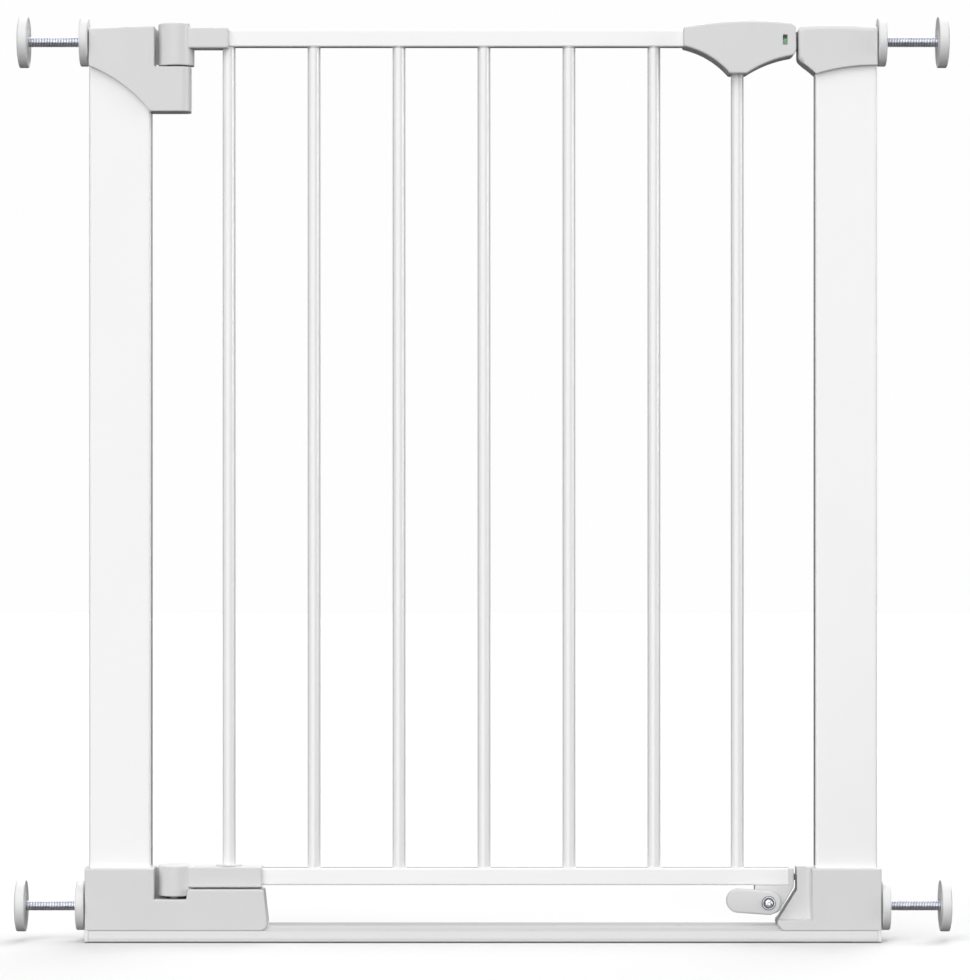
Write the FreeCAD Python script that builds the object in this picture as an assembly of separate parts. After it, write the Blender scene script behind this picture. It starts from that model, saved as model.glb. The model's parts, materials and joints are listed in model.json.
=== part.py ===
"""Pressure-fit safety baby gate: a steel U-frame with a two-way swinging barred gate.

Millimetres. X runs across the doorway (hinge side is -X, latch side is +X), Y runs through it
(the front, where the stop lever is, is -Y) and Z is up. The origin is on the floor, under the
middle of the threshold bar.
"""

import math
import os

import FreeCAD
import Part

# ---------------------------------------------------------------- driving dimensions
# clearances
RUN_GAP = 0.05             # radial running clearance of pins, screws and threads
SEAT_GAP = 0.02            # radial gap of glued or pressed round seats
SLIDE_GAP = 0.3            # side clearance of flat sliding pieces

# frame: posts and threshold
FRAME_HALF_W = 312.4       # centre to a post's outer face
POST_W = 49.1
POST_D = 20.0
POST_WALL = 1.2
POST_EDGE_R = 2.0
POST_TOP = 721.0
CROWN_H = 13.0             # threshold bar's height
CROWN_HALF_D = 14.0        # half depth of its raised crown
CROWN_EDGE = 2.0           # bevel along the crown and its foot
SKIRT_HALF_D = 21.0        # half depth over its lip
SKIRT_FOLDS = 4            # flats that make up the hollow of the skirt
STEP_H = 9.0               # height of the step beside the crown
LIP_H = 2.2                # top of the upright lip
FLOOR_STRIP_T = 1.0        # rubber strip under the threshold
FLOOR_STRIP_HALF_D = 15.0
FLOOR_STRIP_END = 20.0     # strip's end inside a post's outer face
THRESHOLD_WALL = 1.5
END_CAP_T = 2.8
END_CAP_PROUD = 0.35       # end caps past the threshold's section
END_PLUG_L = 8.0

# plastic mouldings on the posts
MOULDING_WALL = 4.5        # plastic before and behind a post
POST_COVER = 2.7           # plastic beside a post's inner face
HOUSING_SIDE = 3.0         # plastic beside a post's outer face, at the floor only
CAP_RISE = 4.3             # bracket's top above its post, at the gate's side
BARREL_L = 35.3            # fixed hinge barrel under the upper sleeve
BARREL_EDGE_R = 7.0
KEEPER_W = 13.7            # keeper's reach from its post towards the gate
LATCH_W = 14.3             # lower latch housing's reach from its post
LIP_W = 2.0                # rear lips that close the gaps beside the sleeves
LIP_Y = 8.0                # where these lips begin behind the hinge

# hinge
SLEEVE_SIDE_GAP = 2.5      # between a sleeve and the moulding beside it
POCKET_GAP = 1.0           # radial room round the lower sleeve
POCKET_WALL = 0.7          # thinnest plastic round the lower sleeve's pocket
PIN_R = 4.0
COLLAR_R = 8.0
UPPER_COLLAR_H = 1.4
LOWER_COLLAR_H = 2.4
UPPER_SLEEVE_RISE = 7.2    # upper sleeve's top above the posts
UPPER_SLEEVE_L = 33.4
LOWER_SLEEVE_L = 24.0
LOWER_FLOOR_RISE = 20.8    # floor of the lower sleeve's pocket above the threshold's crown
UPPER_PIN_IN_FRAME = 30.0  # pin length below its sleeve
LOWER_PIN_IN_FRAME = 18.0
PIN_TOP_COVER = 4.0        # plastic left over a pin's upper end

# gate panel
RAIL_H = 13.6
RAIL_D = 12.0
RAIL_WALL = 1.2
RAIL_EDGE_R = 1.2
ARM_WALL = 1.4             # arm plastic above and below a rail
UPPER_ARM_DROP = 3.4       # sleeve's top above its arm
LOWER_ARM_DROP = 0.9
RAIL_FROM_SLEEVE = 5.5     # a rail's end beside its sleeve
FIRST_BAR_FROM_SLEEVE = 27.6
LOWER_ARM_PAST_BAR = 26.5  # lower arm's end past the first bar
BAR_R = 5.05
BAR_WALL = 1.0
BAR_COUNT = 7
LATCH_BAR_SPACING = 66.2   # centres of the last two bars
BAR_COLLAR_W = 5.15
BAR_COLLAR_H = 0.8

# handle
HANDLE_L = 89.0
HANDLE_WALL = 2.4
HANDLE_TO_KEEPER = 1.8
LATCH_BAR_INSET = 45.8     # last bar from the handle's latch end
HANDLE_NECK_W = 1.65       # plastic round the last bar at the neck's foot
HANDLE_NECK_DROP = 22.0    # neck's foot below the rail
HANDLE_CROWN = 5.8         # crown of the handle above the rail
RAIL_IN_HANDLE = 21.8
SLIDER_D_INSET = 4.5       # handle's face to the thumb slider's side
SLIDER_FLOOR_RISE = 0.8    # floor of the slider's recess above the rail
THUMB_W = 7.0              # thumb ridge on the slider
THUMB_H = 2.2
STEM_L = 14.0              # stem between the slider and the bolt
STEM_D = 7.0
CHASSIS_T = 6.5
SPRING_WALL_T = 2.0        # chassis wall behind the return spring

# lock bolt, its keeper and the position indicator
BOLT_ENGAGE = 7.9          # bolt's tip inside the keeper
BOLT_INSET = 0.2           # drawn bolt's tip inside the handle
BOLT_L = 61.5
BOLT_H = 14.3
BOLT_T = 8.0
NOTCH_GAP = 0.8            # room round the bolt and the tongue in their notches
NOTCH_END_GAP = 2.0
SPRING_R = 4.0
SPRING_WIRE_R = 0.5
SPRING_TURNS = 5
WINDOW_W = 3.5
WINDOW_H = 7.8
WINDOW_T = 1.9
FLAG_T = 1.0

# lower latch: cap, tongue and stop lever
CAP_TO_LATCH = 2.6
CAP_W = 4.0                # cap past the rail's end
CAP_SIDE = 2.0             # cap's plastic before and behind the rail
TONGUE_DROP = 0.4          # tongue's middle below the rail's
TONGUE_H = 4.8
TONGUE_ENGAGE = 6.0
TONGUE_L = 29.0
RECESS_BACK_Y = -5.8
RECESS_FLOOR_RISE = 4.4    # recess floor above the threshold's crown
LEVER_INSET = 20.3         # lever's pivot from the cap's end
LEVER_DROP = 13.4          # lever's pivot below the rail
LEVER_R = 9.5
LEVER_END_GAP = 1.0        # lever's tip from the recess wall
LEVER_TILT_DEG = 4.0
LEVER_T = 5.5
LEVER_GAP = 0.5            # between the lever and the cap behind it
LEVER_SCREW_R = 2.0
LEVER_SCREW_HEAD_R = 3.2
WASHER_R = 5.5
WASHER_T = 1.0

# spindles, hand wheels and wall pads
SPINDLE_R = 4.0            # M8
TOP_SPINDLE_DROP = 7.0     # below the post's top
BOTTOM_SPINDLE_DROP = 6.1  # below the lower pocket's floor
SPINDLE_END_ROOM = 9.1     # post's inner face to the spindle's end
TOP_SPINDLE_OUT = 56.6     # post's outer face to the pad's wall face
BOTTOM_SPINDLE_OUT = 55.7  # housing's outer face to the pad's wall face
PAD_R = 20.5
PAD_T = 7.9
PAD_EDGE_R = 1.0
RUBBER_R = 17.5
RUBBER_T = 2.6
RUBBER_PROUD = 0.4
PAD_BORE_DEPTH = 4.1
WHEEL_R = 19.4
WHEEL_T = 6.8
WHEEL_EDGE_R = 2.0
WHEEL_WEB = 2.3
NUT_ACROSS = 13.0
BUSH_FLANGE_R = 10.0
BUSH_FLANGE_T = 0.8
BUSH_R = 5.5
BUSH_PAST_WALL = 3.0

# fasteners
BRACKET_SCREW_R = 2.0
BRACKET_SCREW_HEAD_R = 4.0
BRACKET_SCREW_HEAD_T = 1.8
SCREW_BITE = 1.5           # shank past the steel wall it is driven into
SOCKET_DEPTH = 1.0
HANDLE_SCREW_R = 1.5
HANDLE_SCREW_HEAD_R = 3.0
HANDLE_SCREW_HEAD_T = 1.8
HANDLE_BOSS_R = 3.2
HANDLE_SCREW_L = 24.0

# ---------------------------------------------------------------- worked-out places
POST_INNER_X = FRAME_HALF_W - POST_W
POST_MID_X = FRAME_HALF_W - POST_W / 2
BRACKET_D = POST_D + 2 * MOULDING_WALL
SLEEVE_R = BRACKET_D / 2 - 0.2
POCKET_R = SLEEVE_R + POCKET_GAP
HOUSING_D = 2 * (POCKET_R + POCKET_WALL)
HOUSING_OUTER_X = FRAME_HALF_W + HOUSING_SIDE
HINGE_X = -POST_INNER_X + POST_COVER + SLEEVE_SIDE_GAP + SLEEVE_R
BARREL_RIGHT = HINGE_X + SLEEVE_R - 2.8

UPPER_SLEEVE_TOP = POST_TOP + UPPER_SLEEVE_RISE
UPPER_SLEEVE_BOTTOM = UPPER_SLEEVE_TOP - UPPER_SLEEVE_L
UPPER_BARREL_TOP = UPPER_SLEEVE_BOTTOM - UPPER_COLLAR_H
LOWER_FLOOR = CROWN_H + LOWER_FLOOR_RISE
LOWER_SLEEVE_BOTTOM = LOWER_FLOOR + LOWER_COLLAR_H
LOWER_SLEEVE_TOP = LOWER_SLEEVE_BOTTOM + LOWER_SLEEVE_L
HOUSING_TOP = LOWER_SLEEVE_TOP - 2.0
HOUSING_BOTTOM = STEP_H

UPPER_ARM_Z1 = UPPER_SLEEVE_TOP - UPPER_ARM_DROP
TOP_RAIL_Z1 = UPPER_ARM_Z1 - ARM_WALL
TOP_RAIL_Z0 = TOP_RAIL_Z1 - RAIL_H
UPPER_ARM_Z0 = TOP_RAIL_Z0 - ARM_WALL
LOWER_ARM_Z1 = LOWER_SLEEVE_TOP - LOWER_ARM_DROP
BOTTOM_RAIL_Z1 = LOWER_ARM_Z1 - ARM_WALL
BOTTOM_RAIL_Z0 = BOTTOM_RAIL_Z1 - RAIL_H
LOWER_ARM_Z0 = BOTTOM_RAIL_Z0 - ARM_WALL
HINGE_STEP_TOP = LOWER_ARM_Z0 - 1.3
ARM_D = 2 * (SLEEVE_R - 3.9)

KEEPER_LEFT = POST_INNER_X - KEEPER_W
HANDLE_RIGHT = KEEPER_LEFT - HANDLE_TO_KEEPER
HANDLE_LEFT = HANDLE_RIGHT - HANDLE_L
HANDLE_D = BRACKET_D + 2.0
HANDLE_BOTTOM = TOP_RAIL_Z0 - HANDLE_NECK_DROP
HANDLE_CAVITY_TOP = TOP_RAIL_Z1 - ARM_WALL
SLIDER_FLOOR = TOP_RAIL_Z1 + SLIDER_FLOOR_RISE
HANDLE_TOP = TOP_RAIL_Z1 + HANDLE_CROWN
SLIDER_D = HANDLE_D - 2 * SLIDER_D_INSET
TOP_RAIL_END = HANDLE_LEFT + RAIL_IN_HANDLE
LATCH_BAR_X = HANDLE_RIGHT - LATCH_BAR_INSET
NECK_HALF_W = BAR_R + HANDLE_NECK_W
FIRST_BAR_X = HINGE_X + SLEEVE_R + FIRST_BAR_FROM_SLEEVE
BAR_PITCH = (LATCH_BAR_X - LATCH_BAR_SPACING - FIRST_BAR_X) / (BAR_COUNT - 2)
BAR_XS = [FIRST_BAR_X + BAR_PITCH * i for i in range(BAR_COUNT - 1)] + [LATCH_BAR_X]
RAIL_SEAT_X = HINGE_X + SLEEVE_R + RAIL_FROM_SLEEVE
LOWER_ARM_END = FIRST_BAR_X + LOWER_ARM_PAST_BAR

BOLT_TIP = KEEPER_LEFT + BOLT_ENGAGE
BOLT_LEFT = BOLT_TIP - BOLT_L
BOLT_TRAVEL = BOLT_TIP - HANDLE_RIGHT + BOLT_INSET
BOLT_TOP = HANDLE_CAVITY_TOP - 0.4
BOLT_BOTTOM = BOLT_TOP - BOLT_H
SLIDER_LEFT = HANDLE_LEFT + 17.8
SLIDER_RIGHT = HANDLE_RIGHT - 10.0
THUMB_X = HANDLE_RIGHT - 33.8
STEM_X = HANDLE_RIGHT - 42.2
WINDOW_X = HANDLE_RIGHT - 8.7
WINDOW_Z = BOLT_TOP - 7.1
CHASSIS_TOP = BOLT_BOTTOM - SLIDE_GAP
CHASSIS_BOTTOM = CHASSIS_TOP - CHASSIS_T
CHASSIS_HALF_D = HANDLE_D / 2 - 4.0
CHASSIS_SCREW_Z = (CHASSIS_TOP + CHASSIS_BOTTOM) / 2
# x, z and how near to the middle plane each screw's bosses reach
HANDLE_SCREWS = [
    (HANDLE_RIGHT - 55.2, CHASSIS_SCREW_Z, CHASSIS_HALF_D),
    (HANDLE_RIGHT - 15.2, CHASSIS_SCREW_Z, CHASSIS_HALF_D),
    (HANDLE_RIGHT - 32.7, CHASSIS_BOTTOM - HANDLE_BOSS_R - SLIDE_GAP, 0.0),
]

LATCH_LEFT = POST_INNER_X - LATCH_W
CAP_RIGHT = LATCH_LEFT - CAP_TO_LATCH
CAP_D = RAIL_D + 2 * CAP_SIDE
BOTTOM_RAIL_END = CAP_RIGHT - CAP_W
TONGUE_Z = (BOTTOM_RAIL_Z0 + BOTTOM_RAIL_Z1) / 2 - TONGUE_DROP
TONGUE_TIP = LATCH_LEFT + TONGUE_ENGAGE
RECESS_WALL_X = POST_INNER_X - POST_COVER
RECESS_FLOOR = CROWN_H + RECESS_FLOOR_RISE
LEVER_X = CAP_RIGHT - LEVER_INSET
LEVER_Z = BOTTOM_RAIL_Z0 - LEVER_DROP
LEVER_REACH = RECESS_WALL_X - LEVER_END_GAP - LEVER_R - LEVER_X
LEVER_FRONT = -CAP_D / 2 - LEVER_GAP - LEVER_T

TOP_SPINDLE_Z = POST_TOP - TOP_SPINDLE_DROP
BOTTOM_SPINDLE_Z = LOWER_FLOOR - BOTTOM_SPINDLE_DROP
TOP_PAD_FACE = FRAME_HALF_W + TOP_SPINDLE_OUT
BOTTOM_PAD_FACE = HOUSING_OUTER_X + BOTTOM_SPINDLE_OUT
SPINDLE_INNER_X = POST_INNER_X + SPINDLE_END_ROOM
UPPER_SCREW_ZS = (POST_TOP - 21.0, POST_TOP - 9.0)
LOWER_SCREW_ZS = (HOUSING_BOTTOM + 13.0, HOUSING_TOP - 12.2)
# side, spindle height, pad's wall face and the frame face that the bush lies on
CORNERS = {
    "top_left": (-1, TOP_SPINDLE_Z, TOP_PAD_FACE, FRAME_HALF_W),
    "top_right": (1, TOP_SPINDLE_Z, TOP_PAD_FACE, FRAME_HALF_W),
    "bottom_left": (-1, BOTTOM_SPINDLE_Z, BOTTOM_PAD_FACE, HOUSING_OUTER_X),
    "bottom_right": (1, BOTTOM_SPINDLE_Z, BOTTOM_PAD_FACE, HOUSING_OUTER_X),
}


# ---------------------------------------------------------------- small shape helpers
def vec(x, y, z):
    return FreeCAD.Vector(x, y, z)


def box(x0, x1, y0, y1, z0, z1):
    """Box between two corners."""
    return Part.makeBox(x1 - x0, y1 - y0, z1 - z0, vec(x0, y0, z0))


def cyl_z(x, y, z0, z1, r):
    return Part.makeCylinder(r, z1 - z0, vec(x, y, z0), vec(0, 0, 1))


def cyl_y(x, z, y0, y1, r):
    return Part.makeCylinder(r, y1 - y0, vec(x, y0, z), vec(0, 1, 0))


def cyl_x(side, x0, x1, z, r):
    """Cylinder along X on one side of the gate, from |X| = x0 out to |X| = x1."""
    return Part.makeCylinder(r, x1 - x0, vec(side * x0, 0, z), vec(side, 0, 0))


def front_outline(steps):
    """Closed wire in the XZ plane. A step is (x, z) for a line to that point, or (x, z, rise)
    for an arc to it whose middle stands that far to the left of the straight way."""
    start = here = vec(steps[0][0], 0, steps[0][1])
    edges = []
    for x, z, *rise in steps[1:]:
        end = vec(x, 0, z)
        if rise:
            way = (end - here).normalize()
            middle = (here + end) * 0.5 + vec(-way.z, 0, way.x) * rise[0]
            edges.append(Part.Arc(here, middle, end).toShape())
        else:
            edges.append(Part.makeLine(here, end))
        here = end
    if (here - start).Length > 1e-6:
        edges.append(Part.makeLine(here, start))
    return Part.Wire(edges)


def front_prism(wire, depth):
    """Solid of a front outline, depth thick, centred on Y = 0."""
    face = Part.Face(wire)
    solid = face.extrude(vec(0, depth, 0))
    solid.translate(vec(0, -depth / 2, 0))
    return solid


def side_prism(points, x0, x1):
    """Solid of a polygon in the YZ plane, from x0 to x1."""
    wire = Part.makePolygon([vec(x0, y, z) for y, z in points + points[:1]])
    return Part.Face(wire).extrude(vec(x1 - x0, 0, 0))


def round_edges(shape, radius, wanted):
    """Fillet the edges for which wanted(edge) is true."""
    edges = [e for e in shape.Edges if wanted(e)]
    return shape.makeFillet(radius, edges)


def is_line_along(edge, axis):
    """True for a straight edge parallel to the axis."""
    if edge.Curve.TypeId != "Part::GeomLine":
        return False
    return abs(edge.tangentAt(edge.FirstParameter).dot(axis)) > 0.999


def front_rims(shape, half_depth):
    """Edges that lie whole in the front or the back face of a prism."""
    rims = []
    for edge in shape.Edges:
        ends = edge.BoundBox
        if ends.YLength < 1e-4 and abs(abs(ends.YMin) - half_depth) < 1e-4:
            rims.append(edge)
    return rims


def soften(shape, depth, radius):
    """Round the front and back rims of a prism centred on Y = 0."""
    return shape.makeFillet(radius, front_rims(shape, depth / 2))


def tube_section(x0, x1, z0, z1, depth, wall, edge_r, along):
    """Rectangular tube. x0..x1, z0..z1 and depth are its outer size; along is its axis."""
    outer = box(x0, x1, -depth / 2, depth / 2, z0, z1)
    outer = round_edges(outer, edge_r, lambda e: is_line_along(e, along))
    grow_x = 1.0 if along.x else -wall
    grow_z = 1.0 if along.z else -wall
    inner = box(x0 - grow_x, x1 + grow_x, -depth / 2 + wall, depth / 2 - wall,
                z0 - grow_z, z1 + grow_z)
    return outer.cut(inner)


# ---------------------------------------------------------------- frame: steel
def post_block(side):
    """Outer shape of a post, solid, for cutting the mouldings that wrap it."""
    x0, x1 = sorted((side * POST_INNER_X, side * FRAME_HALF_W))
    block = box(x0, x1, -POST_D / 2, POST_D / 2, CROWN_H, POST_TOP)
    return round_edges(block, POST_EDGE_R, lambda e: is_line_along(e, vec(0, 0, 1)))


def make_post(side):
    post = post_block(side)
    x0, x1 = sorted((side * (POST_INNER_X + POST_WALL), side * (FRAME_HALF_W - POST_WALL)))
    half = POST_D / 2 - POST_WALL
    post = post.cut(box(x0, x1, -half, half, CROWN_H - 1, POST_TOP + 1))
    for z in (TOP_SPINDLE_Z, BOTTOM_SPINDLE_Z):
        post = post.cut(cyl_x(side, FRAME_HALF_W - 2 * POST_WALL, FRAME_HALF_W + 1, z,
                              BUSH_R + SEAT_GAP))
    for z in UPPER_SCREW_ZS + LOWER_SCREW_ZS:
        post = post.cut(cyl_y(side * POST_MID_X, z, half - 1, POST_D, BRACKET_SCREW_R + SEAT_GAP))
    return post


def threshold_profile(inset):
    """Points of the threshold's section, right half then left, moved in by inset."""
    foot = SKIRT_HALF_D - 2 * inset
    skirt_w = foot - (CROWN_HALF_D + CROWN_EDGE - inset)
    half = [(foot, FLOOR_STRIP_T + inset)]
    first = 2 if inset > 0 else 0
    for i in range(first, SKIRT_FOLDS + 1):
        way = i / SKIRT_FOLDS
        fall = (STEP_H - LIP_H) * (1.0 - way * way)
        half.append((foot - way * skirt_w, STEP_H - fall + inset * (0.3 - 1.3 * way)))
    half += [
        (CROWN_HALF_D - inset, STEP_H - inset),
        (CROWN_HALF_D - inset, CROWN_H - CROWN_EDGE - inset / 2),
        (CROWN_HALF_D - CROWN_EDGE - inset / 2, CROWN_H - inset),
    ]
    return half + [(-y, z) for y, z in reversed(half)]


def threshold_block(x0, x1):
    return side_prism(threshold_profile(0.0), x0, x1)


def make_threshold_bar():
    outer = threshold_block(-FRAME_HALF_W, FRAME_HALF_W)
    hollow = side_prism(threshold_profile(THRESHOLD_WALL), -FRAME_HALF_W - 1, FRAME_HALF_W + 1)
    return outer.cut(hollow)


def make_floor_strip():
    """Rubber strip that the threshold stands on."""
    half = FRAME_HALF_W - FLOOR_STRIP_END
    return box(-half, half, -FLOOR_STRIP_HALF_D, FLOOR_STRIP_HALF_D, 0.0, FLOOR_STRIP_T)


def end_cap_room(side):
    """Space that a housing leaves for the end cap under it."""
    x0, x1 = sorted((side * FRAME_HALF_W, side * (HOUSING_OUTER_X + 1)))
    return side_prism(threshold_profile(-END_CAP_PROUD), x0, x1)


def make_threshold_end_caps():
    caps = []
    for side in (-1, 1):
        x0, x1 = sorted((side * FRAME_HALF_W, side * (FRAME_HALF_W + END_CAP_T)))
        plate = side_prism(threshold_profile(-END_CAP_PROUD), x0, x1)
        p0, p1 = sorted((side * (FRAME_HALF_W - END_PLUG_L), side * FRAME_HALF_W))
        plug = side_prism(threshold_profile(THRESHOLD_WALL + SEAT_GAP), p0, p1)
        caps.append(plate.fuse(plug))
    return Part.makeCompound(caps)


# ---------------------------------------------------------------- frame: plastic mouldings
def make_bracket_screws():
    """Screws through the back wall of each moulding into the post's back wall."""
    screws = []
    for depth, heights in ((BRACKET_D, UPPER_SCREW_ZS), (HOUSING_D, LOWER_SCREW_ZS)):
        head_y = depth / 2 - BRACKET_SCREW_HEAD_T
        tip_y = POST_D / 2 - POST_WALL - SCREW_BITE
        for x in (-POST_MID_X, POST_MID_X):
            for z in heights:
                head = cyl_y(x, z, head_y, depth / 2, BRACKET_SCREW_HEAD_R)
                socket = cyl_y(x, z, depth / 2 - SOCKET_DEPTH, depth, BRACKET_SCREW_R * 0.8)
                shank = cyl_y(x, z, tip_y, head_y, BRACKET_SCREW_R)
                screws.append(head.fuse(shank).cut(socket))
    return Part.makeCompound(screws)


def cut_bracket_screws(shape, side, depth, heights):
    x = side * POST_MID_X
    for z in heights:
        head_y = depth / 2 - BRACKET_SCREW_HEAD_T
        shape = shape.cut(cyl_y(x, z, head_y, depth, BRACKET_SCREW_HEAD_R + SEAT_GAP))
        shape = shape.cut(cyl_y(x, z, POST_D / 2 - 1, depth, BRACKET_SCREW_R + SEAT_GAP))
    return shape


def is_upright_at(edge, x):
    """True for an upright straight edge at this x."""
    return is_line_along(edge, vec(0, 0, 1)) and abs(edge.BoundBox.XMin - x) < 0.05


def make_upper_hinge_bracket():
    """Cap over the left post with the fixed hinge barrel at its lower right."""
    right = -POST_INNER_X + POST_COVER
    barrel_bottom = UPPER_BARREL_TOP - BARREL_L
    outline = front_outline([
        (-FRAME_HALF_W, POST_TOP - 26.9),
        (-FRAME_HALF_W, POST_TOP + CAP_RISE - 2.0),
        (right, POST_TOP + CAP_RISE, 0.3),
        (right, UPPER_BARREL_TOP),
        (BARREL_RIGHT, UPPER_BARREL_TOP),
        (BARREL_RIGHT, barrel_bottom),
        (-POST_INNER_X - 0.5, barrel_bottom),
        (-FRAME_HALF_W, POST_TOP - 26.9, -4.0),
    ])
    body = front_prism(outline, BRACKET_D)
    body = round_edges(body, BARREL_EDGE_R, lambda e: is_upright_at(e, BARREL_RIGHT))
    top_rims = [e for e in front_rims(body, BRACKET_D / 2) if e.BoundBox.ZMax > POST_TOP + 2.0]
    body = body.makeFillet(0.8, top_rims)
    body = body.fuse(box(right - 1, right + LIP_W, LIP_Y, BRACKET_D / 2,
                         UPPER_BARREL_TOP + 4.0, POST_TOP + CAP_RISE - 1.0))
    body = body.cut(post_block(-1))
    bore_bottom = UPPER_SLEEVE_BOTTOM - UPPER_PIN_IN_FRAME - 2.0
    body = body.cut(cyl_z(HINGE_X, 0, bore_bottom, UPPER_BARREL_TOP + 1, PIN_R + RUN_GAP))
    return cut_bracket_screws(body, -1, BRACKET_D, UPPER_SCREW_ZS)


def make_upper_latch_keeper():
    """Cap over the right post. Its notch, open to the left and at the top, takes the bolt."""
    left = KEEPER_LEFT
    outline = front_outline([
        (left, POST_TOP - 19.7),
        (left, POST_TOP),
        (left + 5.0, POST_TOP + 5.1, 1.45),
        (FRAME_HALF_W, POST_TOP + 4.1, 1.05),
        (FRAME_HALF_W, POST_TOP - 26.5),
        (POST_INNER_X + 0.5, POST_TOP - 33.3, -1.9),
        (left + 2.0, POST_TOP - 23.8, -0.35),
        (left, POST_TOP - 19.7, 0.45),
    ])
    body = front_prism(outline, BRACKET_D)
    body = round_edges(body, 4.0, lambda e: is_upright_at(e, left))
    body = body.cut(post_block(1))
    half = BOLT_T / 2 + NOTCH_GAP
    notch = box(left - 5, BOLT_TIP + NOTCH_END_GAP, -half, half,
                BOLT_BOTTOM - NOTCH_GAP, POST_TOP + 10)
    body = body.cut(notch)
    return cut_bracket_screws(body, 1, BRACKET_D, UPPER_SCREW_ZS)


def make_lower_hinge_housing():
    """Foot moulding of the left post. The gate's lower sleeve turns in its pocket."""
    right = -POST_INNER_X + POST_COVER
    pocket_right = HINGE_X + SLEEVE_R - 5.6
    end = LOWER_ARM_END + 4.4
    outline = front_outline([
        (-HOUSING_OUTER_X, HOUSING_BOTTOM),
        (-HOUSING_OUTER_X, HOUSING_TOP),
        (right, HOUSING_TOP),
        (right, LOWER_FLOOR),
        (pocket_right, LOWER_FLOOR),
        (pocket_right + 1.4, HINGE_STEP_TOP),
        (end - 5.5, HINGE_STEP_TOP),
        (end - 2.6, HINGE_STEP_TOP - 3.0, 0.9),
        (end, HOUSING_BOTTOM + 6.6),
        (end - 6.0, HOUSING_BOTTOM, 2.05),
    ])
    body = soften(front_prism(outline, HOUSING_D), HOUSING_D, 0.8)
    body = body.fuse(box(right - 1, right + LIP_W, LIP_Y, HOUSING_D / 2 - 1,
                         LOWER_FLOOR - 1, HOUSING_TOP - 1))
    body = body.fuse(box(right - 1, pocket_right + 1, LIP_Y, HOUSING_D / 2 - 1,
                         LOWER_FLOOR - 1, HINGE_STEP_TOP))
    body = body.cut(threshold_block(-FRAME_HALF_W, FRAME_HALF_W))
    body = body.cut(end_cap_room(-1))
    body = body.cut(post_block(-1))
    body = body.cut(cyl_z(HINGE_X, 0, LOWER_FLOOR, HOUSING_TOP + 10, POCKET_R))
    bore_bottom = LOWER_SLEEVE_BOTTOM - LOWER_PIN_IN_FRAME - 2.0
    body = body.cut(cyl_z(HINGE_X, 0, bore_bottom, LOWER_FLOOR + 1, PIN_R + RUN_GAP))
    wall = 3.0
    hollow_half = HOUSING_D / 2 - wall
    body = body.cut(box(HINGE_X + POCKET_R + wall, end - wall - 2.6, -hollow_half, hollow_half,
                        CROWN_H - 1, HINGE_STEP_TOP - wall))
    body = body.cut(cyl_x(-1, FRAME_HALF_W - 1, HOUSING_OUTER_X + 1, BOTTOM_SPINDLE_Z,
                          BUSH_R + SEAT_GAP))
    return cut_bracket_screws(body, -1, HOUSING_D, LOWER_SCREW_ZS)


def make_lower_latch_housing():
    """Foot moulding of the right post: tongue notch at the top, stop-lever recess in front."""
    left = LATCH_LEFT
    outline = front_outline([
        (HOUSING_OUTER_X, HOUSING_BOTTOM),
        (HOUSING_OUTER_X, HOUSING_TOP),
        (left, HOUSING_TOP),
        (left, LEVER_Z + 9.6),
        (left - 14.0, LEVER_Z - 12.6),
        (left - 15.8, HOUSING_BOTTOM + 4.4, -0.9),
        (left - 12.4, HOUSING_BOTTOM + 1.0),
        (left - 10.2, HOUSING_BOTTOM, -0.35),
    ])
    body = soften(front_prism(outline, HOUSING_D), HOUSING_D, 0.8)
    body = body.cut(threshold_block(-FRAME_HALF_W, FRAME_HALF_W))
    body = body.cut(end_cap_room(1))
    body = body.cut(post_block(1))
    recess = box(left - 30, RECESS_WALL_X, -HOUSING_D, RECESS_BACK_Y,
                 RECESS_FLOOR, HOUSING_TOP + 10)

    def inner_corner(edge):
        return is_upright_at(edge, RECESS_WALL_X) and abs(edge.BoundBox.YMin - RECESS_BACK_Y) < 0.01

    body = body.cut(round_edges(recess, 4.0, inner_corner))
    half = BOLT_T / 2 + NOTCH_GAP
    notch = box(left - 5, TONGUE_TIP + NOTCH_END_GAP, -half, half,
                TONGUE_Z - TONGUE_H / 2 - NOTCH_GAP, HOUSING_TOP + 10)
    body = body.cut(notch)
    body = body.cut(cyl_x(1, FRAME_HALF_W - 1, HOUSING_OUTER_X + 1, BOTTOM_SPINDLE_Z,
                          BUSH_R + SEAT_GAP))
    return cut_bracket_screws(body, 1, HOUSING_D, LOWER_SCREW_ZS)


def make_spindle_bushes():
    """Flanged plastic bushes that guide the four spindles through the frame's outer faces."""
    bushes = []
    for side, z, _, face in CORNERS.values():
        flange = cyl_x(side, face, face + BUSH_FLANGE_T, z, BUSH_FLANGE_R)
        sleeve = cyl_x(side, FRAME_HALF_W - POST_WALL - BUSH_PAST_WALL, face, z, BUSH_R)
        bore = cyl_x(side, POST_INNER_X, face + 2, z, SPINDLE_R + RUN_GAP)
        bushes.append(flange.fuse(sleeve).cut(bore))
    return Part.makeCompound(bushes)


# ---------------------------------------------------------------- hinge pins
def make_hinge_pin(sleeve_bottom, sleeve_top, in_frame, collar_h):
    """Steel pin with a thrust collar under the gate's sleeve."""
    pin = cyl_z(HINGE_X, 0, sleeve_bottom - in_frame, sleeve_top - PIN_TOP_COVER, PIN_R)
    return pin.fuse(cyl_z(HINGE_X, 0, sleeve_bottom - collar_h, sleeve_bottom, COLLAR_R))


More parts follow.
